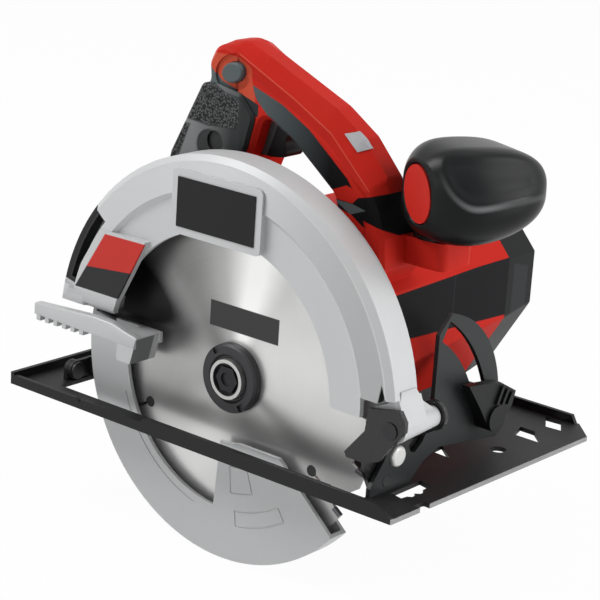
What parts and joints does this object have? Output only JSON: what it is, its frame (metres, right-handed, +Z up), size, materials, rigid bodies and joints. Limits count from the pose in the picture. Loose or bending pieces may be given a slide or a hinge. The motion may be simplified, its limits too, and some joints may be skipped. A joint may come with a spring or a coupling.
{
  "type": "circular saw",
  "caption": "Sidewinder circular saw with a closed-loop rear handle, front knob, cast upper guard, spring-closed lower guard and a stamped shoe that tilts for bevel and swings for depth.",
  "frame": {"origin": "on the sole of the shoe, under the arbor axis, 60 mm left of the joint face between guard and motor", "axes": "+X in the cutting direction, +Y towards the motor, +Z up"},
  "size_m": [0.2732, 0.1875, 0.2657],
  "materials": {
    "blade_steel": "ground",
    "dark_steel": "black oxide",
    "steel": "machined",
    "core": "laminated",
    "copper": "machined",
    "carbon": "matt",
    "casting": "painted silver",
    "label": "matt",
    "guard_grey": "satin",
    "zinc": "plated",
    "red_plastic": "satin",
    "black_plastic": "satin",
    "grey_plastic": "satin",
    "rubber": "soft",
    "black_steel": "satin"
  },
  "bodies": {
    "shoe": {"shoe": "black_steel", "bevel_quadrant": "black_steel"},
    "tilt": {"front_bracket": "black_steel", "depth_bracket": "black_steel", "depth_pivot_pin": "zinc", "bevel_pins": "zinc", "bevel_bolt": "zinc"},
    "saw": {"upper_guard": "casting", "guard_plate": "label", "guard_retainer": "zinc", "guard_spring": "steel", "motor_housing": "red_plastic", "end_cap": "black_plastic", "gear_plate": "casting", "stator": "core", "brush_holders": "copper", "brushes": "carbon", "arbor_front_bearing": "steel", "arbor_rear_bearing": "steel", "armature_front_bearing": "steel", "armature_rear_bearing": "steel", "handle_right": "red_plastic", "handle_left": "red_plastic", "rear_grip": "rubber", "trigger_switch": "black_plastic", "cord_gland": "black_plastic", "front_knob": "rubber", "knob_cap": "red_plastic", "knob_bolt": "zinc", "handle_screws": "zinc", "guard_screws": "zinc", "end_cap_screws": "zinc", "depth_bolt": "zinc"},
    "blade_set": {"blade": "blade_steel", "inner_flange": "dark_steel", "outer_flange": "dark_steel", "blade_bolt": "steel", "arbor_shaft": "steel", "output_gear": "steel"},
    "armature": {"armature_shaft": "steel", "armature_core": "core", "commutator": "copper", "motor_fan": "black_plastic"},
    "lower_guard": {"lower_guard": "guard_grey"},
    "trigger": {"trigger": "black_plastic"},
    "lock_button": {"lock_button": "grey_plastic"},
    "spindle_lock": {"spindle_lock": "black_plastic"},
    "bevel_lever": {"bevel_lever": "black_plastic"},
    "depth_lever": {"depth_lever": "black_plastic"}
  },
  "joints": [
    {"name": "bevel", "type": "hinge", "parent": "shoe", "child": "tilt", "pos_m": [0, -0.068, 0.008], "axis": [1, 0, 0], "range_deg": [0, 45]},
    {"name": "depth", "type": "hinge", "parent": "tilt", "child": "saw", "pos_m": [0.1098, -0.06, 0.0406], "axis": [0, 1, 0], "range_deg": [0, 20]},
    {"name": "blade_spin", "type": "hinge", "parent": "saw", "child": "blade_set", "pos_m": [0, -0.06, 0.036], "axis": [0, 1, 0], "continuous": true},
    {"name": "armature_spin", "type": "hinge", "parent": "saw", "child": "armature", "pos_m": [0.01467, -0.06, 0.06359], "axis": [0, 1, 0], "continuous": true},
    {"name": "guard_retract", "type": "hinge", "parent": "saw", "child": "lower_guard", "pos_m": [0, -0.06, 0.036], "axis": [0, 1, 0], "range_deg": [0, 115], "stiffness_Nm_per_rad": 0.15, "springref_deg": -85.94},
    {"name": "trigger_pull", "type": "slide", "parent": "saw", "child": "trigger", "axis": [-1, 0, 0], "range_m": [0, 0.006], "stiffness_N_per_m": 800, "springref_m": -0.004},
    {"name": "lock_button_push", "type": "slide", "parent": "saw", "child": "lock_button", "axis": [0, 1, 0], "range_m": [0, 0.003], "stiffness_N_per_m": 500, "springref_m": -0.002},
    {"name": "spindle_lock_push", "type": "slide", "parent": "saw", "child": "spindle_lock", "axis": [1, 0, 0], "range_m": [0, 0.004], "stiffness_N_per_m": 500, "springref_m": -0.002},
    {"name": "bevel_lever_turn", "type": "hinge", "parent": "tilt", "child": "bevel_lever", "pos_m": [0, 0.01025, 0.02463], "axis": [1, 0, 0], "range_deg": [0, 60]},
    {"name": "depth_lever_turn", "type": "hinge", "parent": "saw", "child": "depth_lever", "pos_m": [-0.083, -0.06, 0.05], "axis": [0, 1, 0], "range_deg": [0, 50]}
  ],
  "couplings": [
    {"joint": "armature_spin", "follows": "blade_spin", "ratio": -4.5556}
  ]
}
